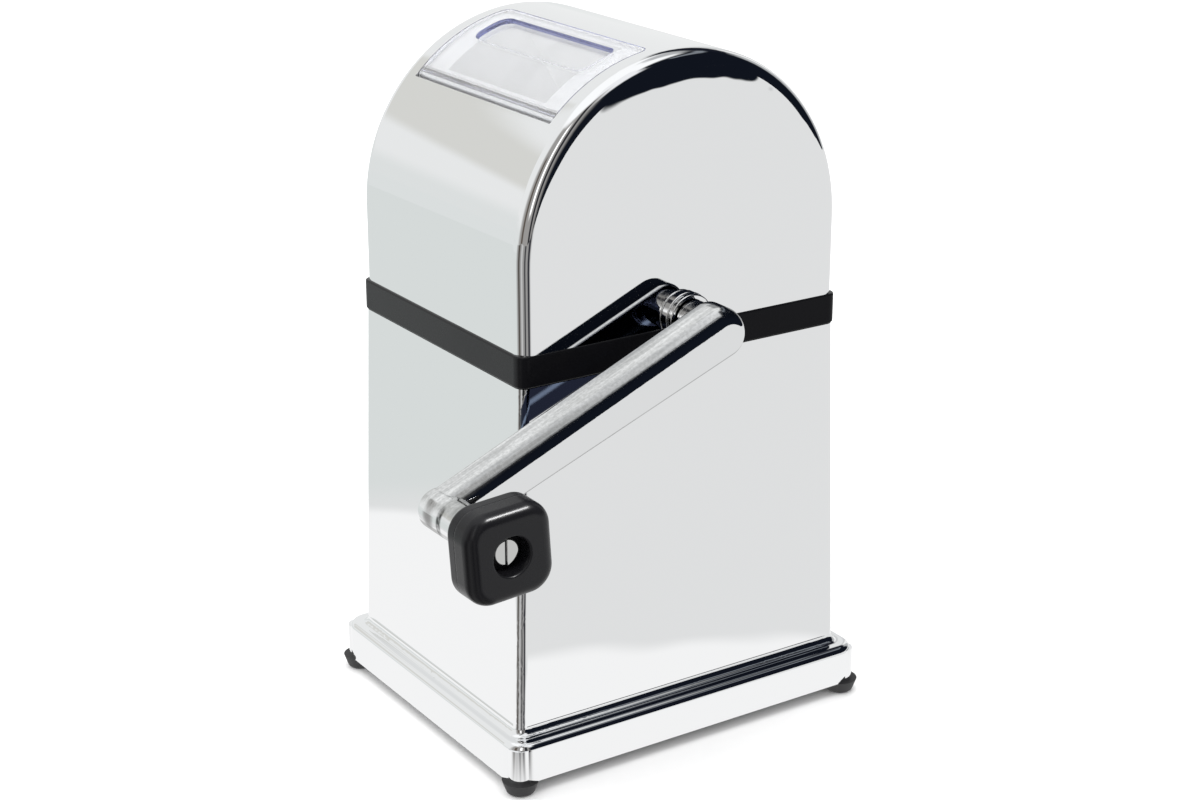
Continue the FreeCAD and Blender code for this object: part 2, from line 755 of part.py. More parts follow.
def make_dome_shell():
    """Chromed D-shaped shell, open below, with the lid's window in its left shoulder."""
    body = new_body("DomeBlank")
    outline = sketch_on(body, "XZ_Plane", "DomeOutline")
    add_arch(outline, d.dome_radius, d.band_top)
    pad(body, outline, d.dome_half_y * 2, midplane=True)
    bottom, half = d.band_top.value, d.dome_half_y.value
    fillet(body, d.rim_radius, lambda edge, at: near(abs(at.y), half) and at.z > bottom + 0.1)
    inside = sketch_on(body, "XZ_Plane", "DomeInside")
    add_arch(inside, d.dome_radius - d.dome_wall, d.band_top - NUDGE)
    pocket(body, inside, (d.dome_half_y - d.dome_wall) * 2, midplane=True)

    posts = []
    reach = d.dome_radius - d.dome_post_lap - d.pillar_x + d.dome_post_half
    for corner, x, y in four_corners(d.pillar_x, d.pillar_y):
        left = x - d.dome_post_half if x.value > 0 else x + d.dome_post_half - reach
        height = d.dome_post_top - d.pillar_top
        size = (reach, d.dome_post_half * 2, height)
        block = box("dome_post_" + corner, size, (left, y - d.dome_post_half, d.pillar_top))
        hole = cylinder("dome_hole_" + corner, d.screw_radius, height - d.dome_hole_end, x, y,
                        d.pillar_top - NUDGE)
        posts.append(cut("dome_boss_" + corner, block, hole))

    hinge_x, hinge_z = on_dome(d.hinge_offset, d.hinge_angle)
    lugs = []
    for side, back in (("front", d.window_half_y), ("rear", -d.lug_half_outer)):
        front = back + d.lug_half_outer - d.window_half_y
        lugs.append(front_cylinder("lid_lug_" + side, d.barrel_radius, back, front, hinge_x, hinge_z))
    whole = fuse("DomeWhole", [body] + posts + lugs)

    upper_side = d.dome_radius.value * math.cos(math.radians(d.grip_upper_angle.value))
    window = make_sector("LidWindow", d.dome_radius - d.window_cut_inside,
                         d.dome_radius + d.window_cut_outside, d.window_half_y,
                         d.window_upper_angle, d.window_lower_angle)
    window_depth = (d.window_cut_inside + d.window_cut_outside).value
    window = round_edges("LidWindowRounded", window, d.window_corner,
                         lambda edge, at: near(edge.Length, window_depth) and at.x > upper_side)
    pin_hole = front_cylinder("PinHole", d.pin_radius, -d.pin_half_length, d.pin_half_length,
                              hinge_x, hinge_z)
    shaft_hole = front_cylinder("BossHole", d.boss_spigot_radius, d.dome_half_y - d.boss_hole_depth,
                                d.dome_half_y + NUDGE, z=d.shaft_height)
    shell = cut("dome_shell", whole, fuse("DomeCuts", [window, pin_hole, shaft_hole]))
    shell.Label = "dome_shell"
    return shell


def make_sector(name, inner, outer, half_y, start, end):
    """Part of a thick tube about the dome's axis, between two angles from +X."""
    solids = []
    for part, radius, reach in (("outer", outer, 0.0), ("inner", inner, NUDGE)):
        item = cylinder(f"{name}_{part}", radius, (as_size(half_y) + reach) * 2)
        spread = as_size(0.0) if part == "outer" else as_size(NUDGE)
        item.setExpression("Angle", (end - start + spread * 2).formula)
        turn = FreeCAD.Rotation(Y_AXIS, spread.value - start.value)
        item.Placement = FreeCAD.Placement(FreeCAD.Vector(), turn.multiply(FRONT))
        place(item, 0, as_size(half_y) + reach, d.spring_line)
        solids.append(item)
    return cut(name, *solids)


def make_lid():
    """Clear curved lid with a finger grip and a hinge barrel along its lower edge."""
    gap_angle = Size(math.degrees(d.lid_gap.value / d.dome_radius.value),
                     f"({d.lid_gap.formula} / {d.dome_radius.formula} * 180 / pi)")
    hinge_x, hinge_z = on_dome(d.hinge_offset, d.hinge_angle)
    half = d.window_half_y - d.lid_gap
    inner = d.dome_radius - d.lid_thickness
    plate = make_sector("LidPlate", inner, d.dome_radius, half, d.window_upper_angle + gap_angle,
                        d.hinge_angle)
    thickness = d.lid_thickness.value
    upper_side = d.dome_radius.value * math.cos(math.radians(d.grip_upper_angle.value))
    plate = round_edges("LidPlateRounded", plate, d.lid_corner,
                        lambda edge, at: near(edge.Length, thickness) and at.x > upper_side)
    barrel = front_cylinder("LidBarrel", d.barrel_radius, -half, half, hinge_x, hinge_z)
    grip = make_sector("LidGrip", d.dome_radius - d.grip_depth, d.dome_radius + NUDGE, d.grip_half_y,
                       d.grip_upper_angle, d.grip_lower_angle)
    grip_wall = d.grip_depth.value + NUDGE
    grip = round_edges("LidGripRounded", grip, d.grip_corner,
                       lambda edge, at: near(edge.Length, grip_wall))
    bore = front_cylinder("LidBore", d.pin_radius + d.pin_clearance, -half - NUDGE, half + NUDGE,
                          hinge_x, hinge_z)
    lid = cut("lid", fuse("LidBlank", [plate, barrel]), fuse("LidCuts", [grip, bore]))
    lid.Label = "lid"
    pin = front_cylinder("lid_hinge_pin", d.pin_radius, -d.pin_half_length, d.pin_half_length,
                         hinge_x, hinge_z)
    pin.Label = "lid_hinge_pin"
    return [lid, pin]


def make_hopper():
    """Funnel from the lid's window to the crushing chamber, in one moulding with it."""
    body = new_body("hopper")
    collar = sketch_on(body, "XZ_Plane", "Collar")
    outer_wall = d.chamber_half_x + d.chamber_wall
    bed = d.collar_outer - d.collar_bed
    left_x, left_z = on_dome(bed, d.collar_lower_angle + d.collar_lower_lap)
    middle_x, middle_z = on_dome(bed, (d.mouth_upper_angle + d.mouth_lower_angle) * 0.5)
    right_x, right_z = on_dome(bed, d.mouth_upper_angle - d.collar_upper_lap)
    add_polygon(collar, [(left_x, left_z), (-outer_wall, d.chamber_top),
                         (-outer_wall, d.chamber_bottom), (outer_wall, d.chamber_bottom),
                         (outer_wall, d.chamber_top), (right_x, right_z), (middle_x, middle_z)])
    pad(body, collar, (d.chamber_half_y + d.chamber_wall) * 2, midplane=True)
    rim = sketch_on(body, "XZ_Plane", "CollarRing")
    add_ring_sector(rim, d.collar_outer - d.collar_thickness, d.collar_outer,
                    d.collar_upper_angle, d.collar_lower_angle)
    pad(body, rim, d.collar_half_y * 2, midplane=True)
    flange = sketch_on(body, "XY_Plane", "HopperFlange", d.deck_top)
    half_x, half_y = d.hopper_flange_half_x, d.hopper_flange_half_y
    add_rounded_rectangle(flange, half_x, half_y, d.hopper_flange_corner)
    pad(body, flange, d.hopper_flange_thickness)
    inside = sketch_on(body, "XZ_Plane", "HopperInside")
    lower_x, lower_z = on_dome(d.dome_radius, d.mouth_lower_angle)
    upper_x, upper_z = on_dome(d.dome_radius, d.mouth_upper_angle)
    floor = d.chamber_bottom - NUDGE
    add_polygon(inside, [(lower_x, lower_z), (-d.chamber_half_x, d.chamber_top), (-d.chamber_half_x, floor),
                         (d.chamber_half_x, floor), (d.chamber_half_x, d.chamber_top), (upper_x, upper_z)])
    pocket(body, inside, d.chamber_half_y * 2, midplane=True)
    bores = sketch_on(body, "XZ_Plane", "BushSeats")
    add_circle(bores, 0, d.shaft_height, d.bush_radius)
    pocket(body, bores, (d.chamber_half_y + d.chamber_wall + NUDGE) * 2, midplane=True)
    return body


def add_ring_sector(sketch, inner, outer, start, end):
    """A thick arc about the dome's axis between two angles from +X."""
    z = d.spring_line.value
    sketch.addGeometry(arc(0, z, outer.value, start.value, end.value), False)
    sketch.addGeometry(arc(0, z, inner.value, start.value, end.value), False)
    outer_ends = [on_dome(outer, angle) for angle in (start, end)]
    inner_ends = [on_dome(inner, angle) for angle in (start, end)]
    for outside, inside in zip(outer_ends, inner_ends):
        sketch.addGeometry(Part.LineSegment(vector(*outside), vector(*inside)), False)
    for line, point in ((2, 1), (3, 2)):
        sketch.addConstraint(Sketcher.Constraint("Coincident", 0, point, line, 1))
        sketch.addConstraint(Sketcher.Constraint("Coincident", 1, point, line, 2))
    for ring, radius, ends in ((0, outer, outer_ends), (1, inner, inner_ends)):
        fix_point(sketch, ring, 3, 0, d.spring_line)
        fix_radius(sketch, ring, radius)
        fix_point(sketch, ring, 1, x=ends[0][0])
        fix_point(sketch, ring, 2, x=ends[1][0])


def make_bush(label, wall_side):
    """Flanged bush in a chamber wall; wall_side is 1 at the front and -1 at the rear."""
    inner_face, outer_face = d.chamber_half_y, d.chamber_half_y + d.chamber_wall
    bore = d.shaft_radius + d.running_clearance
    faces = [inner_face, outer_face, outer_face + d.bush_flange]
    if wall_side < 0:
        faces = [-face for face in reversed(faces)]
        radii = (d.bush_flange_radius, d.bush_radius)
    else:
        radii = (d.bush_radius, d.bush_flange_radius)
    steps = []
    for index, radius in enumerate(radii):
        name = f"{label}_step{index}"
        steps.append(tube(name, radius, bore, faces[index], faces[index + 1], z=d.shaft_height))
    bush = fuse(label, steps)
    bush.Label = label
    return bush


def make_comb(label, side):
    """Fixed steel comb on one chamber wall; its teeth stand between the rotor's blades."""
    body = new_body(label)
    wall = d.chamber_half_x * side
    face = (d.chamber_half_x - d.comb_plate) * side
    tip = (d.spacer_radius + d.comb_tip_gap) * side
    plate = sketch_on(body, "XZ_Plane", "CombPlate")
    low, high = d.comb_bottom, d.comb_top
    add_polygon(plate, [(face, low), (wall, low), (wall, high), (face, high)])
    pad(body, plate, (d.chamber_half_y - d.comb_end_gap) * 2, midplane=True)
    count = int(d.blade_count.value) + 1
    reach = d.blade_pitch * (count - 1) * 0.5 + d.comb_tooth_thickness * 0.5
    tooth = sketch_on(body, "XZ_Plane", "CombTooth", -reach)
    back = face + d.comb_lap * side
    level = d.shaft_height
    add_polygon(tooth, [(back, level - d.comb_root_below), (tip, level - d.comb_tip_below),
                        (tip, level + d.comb_tip_above), (back, level + d.comb_root_above)])
    first = pad(body, tooth, d.comb_tooth_thickness)
    pattern = body.newObject("PartDesign::LinearPattern", "CombTeeth")
    pattern.Originals = [first]
    pattern.Direction = (tooth, ["N_Axis"])
    pattern.Occurrences = count
    pattern.setExpression("Length", (d.blade_pitch * (count - 1)).formula)
    body.Tip = pattern
    doc.recompute()
    return body


def make_shaft_boss():
    """Chromed ring round the shaft on the head's front, with a groove between two lips."""
    face, front = d.dome_half_y, d.boss_front
    middle = (face + front) * 0.5
    bore = d.shaft_radius + d.running_clearance
    groove_back = middle - d.boss_groove_half_width
    groove_front = middle + d.boss_groove_half_width
    back_lip = tube("boss_back", d.boss_radius, bore, face, groove_back, z=d.shaft_height)
    neck = tube("boss_neck", d.boss_radius - d.boss_groove_depth, bore, groove_back, groove_front,
                z=d.shaft_height)
    front_radius = d.boss_radius - d.boss_lip_step
    front_lip = tube("boss_lip", front_radius, bore, groove_front, front, z=d.shaft_height)
    spigot = tube("boss_spigot", d.boss_spigot_radius, bore, d.boss_spigot_end, face, z=d.shaft_height)
    blank = fuse("BossBlank", [back_lip, neck, front_lip, spigot])
    levels = (front.value, groove_front.value, groove_back.value)
    shortest = round_trip(front_radius) - TOUCH

    def on_lip(edge, at):
        return any(near(-at.y, level) for level in levels) and edge.Length > shortest

    return round_edges("shaft_boss", blank, d.boss_edge, on_lip)


# ---------------------------------------------------------------- crank and rotor

def make_shaft():
    shaft = front_cylinder("drive_shaft", d.shaft_radius, -d.shaft_rear, d.shaft_front, z=d.shaft_height)
    shaft.Label = "drive_shaft"
    return shaft


def make_blade(name, y, turn):
    """Star wheel with hooked teeth, bored for the shaft."""
    body = new_body(name)
    star = sketch_on(body, "XZ_Plane", "Star")
    corners = []
    lead = d.blade_tooth_lead
    for tooth in range(BLADE_TEETH):
        start = tooth * 360.0 / BLADE_TEETH
        for radius, turned in ((d.blade_root_radius, as_size(0)), (d.blade_tip_radius, lead),
                               (d.blade_tip_radius, lead + d.blade_tooth_land)):
            angle = turned + start
            corners.append((radius * cosine(angle), radius * sine(angle)))
    add_polygon(star, corners)
    pad(body, star, d.blade_thickness, midplane=True)
    bore = sketch_on(body, "XZ_Plane", "Bore")
    add_circle(bore, 0, 0, d.shaft_radius)
    pocket(body, bore, d.blade_thickness + 2 * NUDGE, midplane=True)
    return place(body, 0, y, d.shaft_height, FreeCAD.Rotation(Y_AXIS, turn))


def make_rotor():
    """Blades along the shaft, each turned a little from the last, and the spacers between."""
    count = int(d.blade_count.value)
    blades = []
    spacers = []
    step_angle = 360.0 / BLADE_TEETH / count
    for index in range(count):
        along = d.blade_pitch * (index - (count - 1) / 2)
        blades.append(make_blade(f"blade_{index + 1}", along, index * step_angle))
    half_blade = d.blade_thickness * 0.5
    last = d.blade_pitch * ((count - 1) / 2)
    spans = [(-d.spacer_end, -last - half_blade), (last + half_blade, d.spacer_end)]
    for index in range(count - 1):
        centre = d.blade_pitch * (index + 0.5 - (count - 1) / 2)
        reach = (d.blade_pitch - d.blade_thickness) * 0.5
        spans.append((centre - reach, centre + reach))
    for index, (back, front) in enumerate(spans, start=1):
        spacers.append(tube(f"spacer_{index}", d.spacer_radius, d.shaft_radius, back, front,
                            z=d.shaft_height))
    return [group("rotor_blades", blades), group("rotor_spacers", spacers)]


def make_retaining_clip():
    start = -(d.chamber_half_y + d.chamber_wall + d.bush_flange + d.clip_gap)
    clip = tube("retaining_clip", d.clip_radius, d.shaft_radius, start - d.clip_thickness, start,
                z=d.shaft_height)
    clip.Label = "retaining_clip"
    return clip


def crank_point(along):
    """X and Z of a point on the arm's centre line, at a distance from the shaft's axis."""
    return -(along * cosine(d.crank_angle)), d.shaft_height - along * sine(d.crank_angle)


def make_arm_bar():
    """Tapered bar with a broad round along its top front edge and a tight one underneath."""
    bar = new_body("ArmBar")
    outline = sketch_on(bar, "XZ_Plane", "ArmOutline", d.arm_back)
    add_tapered_bar(outline, d.arm_length, d.arm_half_width, d.arm_tip_half_width)
    pad(bar, outline, d.arm_thickness)
    front = -(d.arm_back + d.arm_thickness).value
    back = -d.arm_back.value

    def radius_at(point):
        if near(point.y, back):
            return d.arm_back_fillet.value
        return d.arm_top_fillet.value if point.z > 0 else d.arm_under_fillet.value

    rounds = []
    for name in edge_names(bar.Shape, lambda edge, at: near(at.y, front) or near(at.y, back)):
        edge = bar.Shape.getElement(name)
        ends = (edge.valueAt(edge.FirstParameter), edge.valueAt(edge.LastParameter))
        rounds.append((int(name[4:]), radius_at(ends[0]), radius_at(ends[1])))
    rounded = doc.addObject("Part::Fillet", "ArmRounded")
    rounded.Base = bar
    rounded.Edges = rounds
    return rounded


def make_crank_arm():
    """Chromed arm, a hub for the shaft at one end and a long boss for the knob at the other."""
    hub = front_cylinder("Hub", d.hub_radius, d.hub_back, d.arm_back + d.hub_lap)
    far = -d.arm_length
    knob_boss = front_cylinder("KnobBoss", d.end_boss_radius, d.end_boss_back, d.end_boss_front, far)
    boss_back = -d.end_boss_back.value
    rim = round_trip(d.end_boss_radius)
    boss_round = round_edges("KnobBossRounded", knob_boss, d.end_boss_fillet,
                             lambda edge, at: near(at.y, boss_back) and near(edge.Length, rim))
    whole = fuse("ArmWhole", [make_arm_bar(), hub, boss_round])
    shaft_bore = front_cylinder("ShaftBore", d.shaft_radius, d.hub_back - NUDGE, d.shaft_front)
    thread = front_cylinder("SpindleBore", d.spindle_shank_radius, d.spindle_root,
                            d.end_boss_front + NUDGE, far)
    lock = cylinder("SetScrewHole", d.set_screw_radius, d.hub_radius + NUDGE,
                    0, -(d.hub_back + d.arm_back) * 0.5, -(d.hub_radius + NUDGE))
    arm = cut("crank_arm", whole, fuse("ArmCuts", [shaft_bore, thread, lock]))
    arm.Label = "crank_arm"
    return place(arm, 0, 0, d.shaft_height, FreeCAD.Rotation(Y_AXIS, -d.crank_angle.value))


def make_set_screw():
    """Headless screw through the hub's underside that locks the arm to the shaft."""
    rise = d.hub_radius * cosine(d.crank_angle)
    screw = cylinder("arm_set_screw", d.set_screw_radius, d.hub_radius - d.shaft_radius,
                     d.hub_radius * sine(d.crank_angle), -(d.hub_back + d.arm_back) * 0.5,
                     d.shaft_height - rise, FreeCAD.Rotation(Y_AXIS, -d.crank_angle.value))
    screw.Label = "arm_set_screw"
    return screw


def make_spindle():
    """Shoulder screw on which the knob turns; its slotted head sits in the knob's recess."""
    x, z = crank_point(d.arm_length)
    seat = d.knob_back + d.knob_thickness - d.recess_depth + d.spindle_end_play
    shank = front_cylinder("spindle_shank", d.spindle_shank_radius, d.spindle_root, d.end_boss_front, x, z)
    shoulder = front_cylinder("spindle_shoulder", d.spindle_radius, d.end_boss_front, seat, x, z)
    head_front = seat + d.spindle_head_height
    head = front_cylinder("spindle_head", d.spindle_head_radius, seat, head_front, x, z)
    whole = fuse("SpindleWhole", [shank, shoulder, head])
    width, depth = d.spindle_slot_width, d.spindle_slot_depth
    reach = d.spindle_head_radius + NUDGE
    slot = box("SpindleSlot", (width, depth + NUDGE, reach * 2),
               (x - width * 0.5, -head_front - NUDGE, z - reach))
    slotted = cut("SpindleSlotted", whole, slot)
    level = -head_front.value
    longer = d.spindle_head_radius.value * 2

    def on_head(edge, at):
        return near(at.y, level) and edge.Length > longer

    return round_edges("knob_spindle", slotted, d.spindle_head_edge, on_head)


def make_knob():
    """Square knob with round corners, a deep recess in front and a bore for the spindle."""
    body = new_body("knob")
    outline = sketch_on(body, "XZ_Plane", "KnobOutline", d.knob_back)
    add_rounded_rectangle(outline, d.knob_half, d.knob_half, d.knob_corner)
    pad(body, outline, d.knob_thickness)
    front = -(d.knob_back + d.knob_thickness).value
    back = -d.knob_back.value
    fillet(body, d.knob_front_fillet, lambda edge, at: near(at.y, front))
    fillet(body, d.knob_back_fillet, lambda edge, at: near(at.y, back))
    bore = sketch_on(body, "XZ_Plane", "KnobBore", d.knob_back)
    add_circle(bore, 0, 0, d.spindle_radius + d.running_clearance)
    pocket(body, bore, d.knob_thickness, reverse=True)
    recess = sketch_on(body, "XZ_Plane", "KnobRecess", d.knob_back + d.knob_thickness)
    add_circle(recess, 0, 0, d.recess_radius)
    pocket(body, recess, d.recess_depth)
    rim = round_trip(d.recess_radius)
    fillet(body, d.recess_edge, lambda edge, at: near(at.y, front) and near(edge.Length, rim))
    x, z = crank_point(d.arm_length)
    return place(body, x, 0, z, FreeCAD.Rotation(Y_AXIS, -d.knob_twist.value))


# ---------------------------------------------------------------- assembly and export

def build_all():
    head_screws = make_screw_group("dome_screws", d.pillar_x, d.pillar_y,
                                   d.deck_bottom - d.screw_head_height, d.dome_screw_tip)
    nodes = [make_lower_casing(), make_ice_bin(), make_seam_band(), make_chassis(), make_dome_shell(),
             make_hopper(), make_bush("front_bush", 1), make_bush("rear_bush", -1),
             make_comb("comb_left", -1), make_comb("comb_right", 1), make_shaft_boss(), make_shaft(),
             make_retaining_clip(), make_crank_arm(), make_set_screw(), make_spindle(), make_knob(),
             head_screws]
    return nodes + make_feet() + make_bottom_plate() + make_lid() + make_rotor()


def check_document():
    for item in doc.Objects:
        if "Invalid" in item.State or "Error" in item.State:
            raise RuntimeError(f"{item.Name} failed: {item.State}")


def export(nodes):
    os.makedirs(PARTS_FOLDER, exist_ok=True)
    for node in nodes:
        shape = node.Shape
        if shape.isNull() or not shape.isValid() or not shape.Solids:
            raise RuntimeError(f"{node.Label} has no valid solid")
    for node in nodes:
        node.Shape.exportStep(os.path.join(PARTS_FOLDER, node.Label + ".step"))
        bounds = node.Shape.BoundBox
        print(f"{node.Label:16s} solids {len(node.Shape.Solids)} volume {node.Shape.Volume:9.0f}"
              f" z {bounds.ZMin:6.1f} {bounds.ZMax:6.1f}")


all_nodes = build_all()
doc.recompute()
check_document()
export(all_nodes)
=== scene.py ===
import json
import math

import bpy
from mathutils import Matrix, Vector

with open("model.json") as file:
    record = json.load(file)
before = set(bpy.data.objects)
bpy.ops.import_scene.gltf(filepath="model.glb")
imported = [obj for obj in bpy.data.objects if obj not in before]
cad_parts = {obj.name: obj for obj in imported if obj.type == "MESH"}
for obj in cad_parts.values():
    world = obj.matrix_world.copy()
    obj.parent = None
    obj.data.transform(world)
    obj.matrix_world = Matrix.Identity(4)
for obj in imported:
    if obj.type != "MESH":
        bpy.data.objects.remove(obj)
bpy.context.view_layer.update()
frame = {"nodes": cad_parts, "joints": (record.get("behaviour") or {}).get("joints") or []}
NODES = frame["nodes"]
JOINTS = {joint["name"]: joint for joint in frame["joints"]}
MM = 0.001


# ---------------------------------------------------------------- node building

class Graph:
    """Short calls for the nodes of one material or world."""

    def __init__(self, tree):
        self.tree = tree

    def node(self, kind, **settings):
        made = self.tree.nodes.new(kind)
        for name, value in settings.items():
            setattr(made, name, value)
        return made

    def feed(self, socket, value):
        if isinstance(value, bpy.types.NodeSocket):
            self.tree.links.new(value, socket)
        else:
            socket.default_value = value

    def math(self, operation, *values):
        made = self.node("ShaderNodeMath", operation=operation)
        for socket, value in zip(made.inputs, values):
            self.feed(socket, value)
        return made.outputs[0]

    def gap(self, value, middle):
        """How far a value lies from middle."""
        return self.math("ABSOLUTE", self.math("SUBTRACT", value, middle))

    def length(self, first, second):
        """Length of the arrow with these two parts."""
        square = self.math("ADD", self.math("MULTIPLY", first, first),
                           self.math("MULTIPLY", second, second))
        return self.math("SQRT", square)

    def smooth(self, value, low, high, out_low=0.0, out_high=1.0):
        """A soft step from out_low at low to out_high at high."""
        made = self.node("ShaderNodeMapRange", interpolation_type="SMOOTHSTEP")
        for name, given in (("Value", value), ("From Min", low), ("From Max", high),
                            ("To Min", out_low), ("To Max", out_high)):
            self.feed(made.inputs[name], given)
        return made.outputs[0]

    def mix(self, share, first, second):
        """A colour between two: all first at share 0, all second at share 1."""
        made = self.node("ShaderNodeMix", data_type="RGBA")
        self.feed(made.inputs["Factor"], share)
        for name, given in (("A", first), ("B", second)):
            socket = next(s for s in made.inputs if s.name == name and s.type == "RGBA")
            self.feed(socket, given if isinstance(given, bpy.types.NodeSocket) else (*given, 1.0))
        return next(s for s in made.outputs if s.type == "RGBA")

    def parts(self, vector):
        made = self.node("ShaderNodeSeparateXYZ")
        self.feed(made.inputs[0], vector)
        return made.outputs

    def split(self, output):
        """The three parts of the object's own place ("Object") or direction ("Normal")."""
        return self.parts(self.node("ShaderNodeTexCoord").outputs[output])

    def position(self, stretch=(1, 1, 1), turn=(0, 0, 0)):
        """Place on the object, in metres, which moves with it: turned first, then stretched."""
        where = self.node("ShaderNodeTexCoord").outputs["Object"]
        for socket, value in (("Rotation", turn), ("Scale", stretch)):
            mapping = self.node("ShaderNodeMapping")
            self.feed(mapping.inputs["Vector"], where)
            mapping.inputs[socket].default_value = value
            where = mapping.outputs["Vector"]
        return where

    def shift(self, where, scale, reach, detail):
        """A wandering offset, at most half of reach to either side."""
        return self.math("MULTIPLY", self.math("SUBTRACT", self.noise(where, scale, detail), 0.5), reach)

    def noise(self, where, scale, detail=2.0, roughness=0.5, distortion=0.0):
        made = self.node("ShaderNodeTexNoise")
        self.feed(made.inputs["Vector"], where)
        made.inputs["Scale"].default_value = scale
        made.inputs["Detail"].default_value = detail
        made.inputs["Roughness"].default_value = roughness
        made.inputs["Distortion"].default_value = distortion
        return made.outputs["Fac"]

    def bump(self, height, distance, strength=1.0, after=None):
        """A normal bent by height times distance, on top of an earlier bend if given."""
        made = self.node("ShaderNodeBump")
        self.feed(made.inputs["Height"], height)
        made.inputs["Distance"].default_value = distance
        made.inputs["Strength"].default_value = strength
        if after is not None:
            self.feed(made.inputs["Normal"], after)
        return made.outputs["Normal"]


def principled(name, colour, roughness, metallic=0.0, **extra):
    """A new material, the short calls for its nodes, and its shader's inputs."""
    material = bpy.data.materials.new(name)
    material.use_nodes = True
    shader = material.node_tree.nodes["Principled BSDF"]
    shader.inputs["Base Color"].default_value = (*colour, 1.0)
    shader.inputs["Roughness"].default_value = roughness
    shader.inputs["Metallic"].default_value = metallic
    for socket, value in extra.items():
        shader.inputs[socket.replace("_", " ")].default_value = value
    return material, Graph(material.node_tree), shader.inputs


# ---------------------------------------------------------------- camera

SENSOR_WIDTH = 36.0             # mm
CAMERA_PLACE = (-0.4520, -0.6865, 0.4160)
CAMERA_TILT = 69.98             # degrees up from straight down
CAMERA_TURN = -33.43            # degrees about +Z
CAMERA_LENS = 69.15             # mm


def make_camera():
    data = bpy.data.cameras.new("Camera")
    data.lens = CAMERA_LENS
    data.sensor_width = SENSOR_WIDTH
    camera = bpy.data.objects.new("Camera", data)
    bpy.context.scene.collection.objects.link(camera)
    camera.location = CAMERA_PLACE
    camera.rotation_euler = (math.radians(CAMERA_TILT), 0.0, math.radians(CAMERA_TURN))
    bpy.context.scene.camera = camera


# ---------------------------------------------------------------- stage and light

ROOM_RADIUS = 4.0
PAPER_EDGE = -1.30              # where the pale floor ends in front, as the chrome sees it
PAPER_FADE = 0.07
BRIGHT_MIDDLE = (-0.035, 0.055)  # middle of the brightly lit patch of floor under the object
BRIGHT_REACH = 0.20
BRIGHT_EDGE = 0.008             # half the width of that patch's soft rim
BRIGHT_WANDER = 0.06
BRIGHT = (1.02, 1.02, 1.02)
PALE_WALL = (0.86, 0.87, 0.87)
PALE_PAPER = (0.835, 0.84, 0.84)
BEYOND_PAPER = (0.02, 0.025, 0.03)
PAPER_SOFTNESS = 0.03
STEEPEST_SOFTNESS = 4.0         # degrees, limit of a room area's softness in elevation
FLOOR_REACH = 12.0

# What the chrome sees round it: direction from the front towards the right in degrees, half the
# width, elevation, its rise per degree towards the right, half the height, softness, and colour.
# Later ones lie over earlier ones.
ROOM = (
    ("back wall", 180, 100, 10, 0, 50, 20, (0.90, 0.91, 0.91)),
    ("left wall foot", -140, 75, 0, 0, 6, 3, (0.81, 0.835, 0.83)),
    ("overhead softbox", 0, 400, 90, 0, 32, 5, (1.10, 1.11, 1.12)),
    ("left ceiling edge", -155.5, 18, 24.0, -0.55, 4.5, 1.5, (0.74, 0.74, 0.71)),
    ("right wall", 105, 26, 15, 0, 60, 14, (0.50, 0.51, 0.52)),
    ("right strip", 118, 7, 10, 0, 30, 3, (0.95, 0.95, 0.95)),
    ("dark ceiling", 100, 48, 46, 0, 10, 6, (0.010, 0.012, 0.020)),
    ("dark room", 35, 58, 18, 0, 40, 6, (0.006, 0.008, 0.014)),
    ("ceiling strip", 70, 26, 51, 0, 2.4, 1.5, (0.22, 0.24, 0.27)),
    ("front softbox", 0, 24, 58, 0, 14, 5, (0.95, 0.96, 0.98)),
    ("grey side of the room", -47, 43, 14, 0, 44, 10, (0.36, 0.35, 0.34)),
    ("side lamp", -42, 5, 30, 0, 22, 3, (1.6, 1.6, 1.6)),
    ("dark stand", -20, 6, 10, 0, 45, 2, (0.03, 0.03, 0.035)),
    ("brown door", -68, 6, 0, 0, 40, 2, (0.12, 0.10, 0.085)),
)
# The same for the pale floor, by direction and distance in metres from the casing's near corner.
NEAR_CORNER = (-0.070, -0.057)
PAPER = (
    ("left side", -150, 60, 1.0, 0.7, 10, (0.76, 0.795, 0.785)),
    ("left far side", -150, 60, 2.6, 1.2, 10, (0.80, 0.83, 0.825)),
    ("grey corner", -46, 52, 1.7, 1.665, 8, (0.34, 0.335, 0.33)),
    ("brown line", -80, 6, 1.7, 1.665, 4, (0.08, 0.07, 0.06)),
    ("pale line", -58, 6, 1.7, 1.665, 4, (0.60, 0.60, 0.60)),
    ("dark line", -34, 5, 1.7, 1.665, 3, (0.05, 0.05, 0.055)),
    ("dark edge", -6, 7, 1.7, 1.665, 4, (0.03, 0.03, 0.04)),
)


def wrapped_gap(graph, angle, centre):
    """Signed angle from centre, within half a turn."""
    turned = graph.math("SUBTRACT", angle, float(centre))
    return graph.math("WRAP", turned, 180.0, -180.0)


def soft_band(graph, gap, half, soft):
    """1 within half of the middle, 0 outside, with a soft change."""
    return graph.smooth(graph.math("ABSOLUTE", gap), half - soft, half + soft, 1.0, 0.0)


def emission_only(name, surface):
    """Makes surface a light that only gloss sees; returns its graph and colour input."""
    material = bpy.data.materials.new(name)
    material.use_nodes = True
    material.node_tree.nodes.clear()
    graph = Graph(material.node_tree)
    emission = graph.node("ShaderNodeEmission")
    output = graph.node("ShaderNodeOutputMaterial")
    graph.feed(output.inputs["Surface"], emission.outputs[0])
    material.cycles.emission_sampling = "NONE"
    surface.data.materials.append(material)
    for kind in ("camera", "diffuse", "transmission", "volume_scatter", "shadow"):
        setattr(surface, "visible_" + kind, False)
    return graph, emission.inputs["Color"]


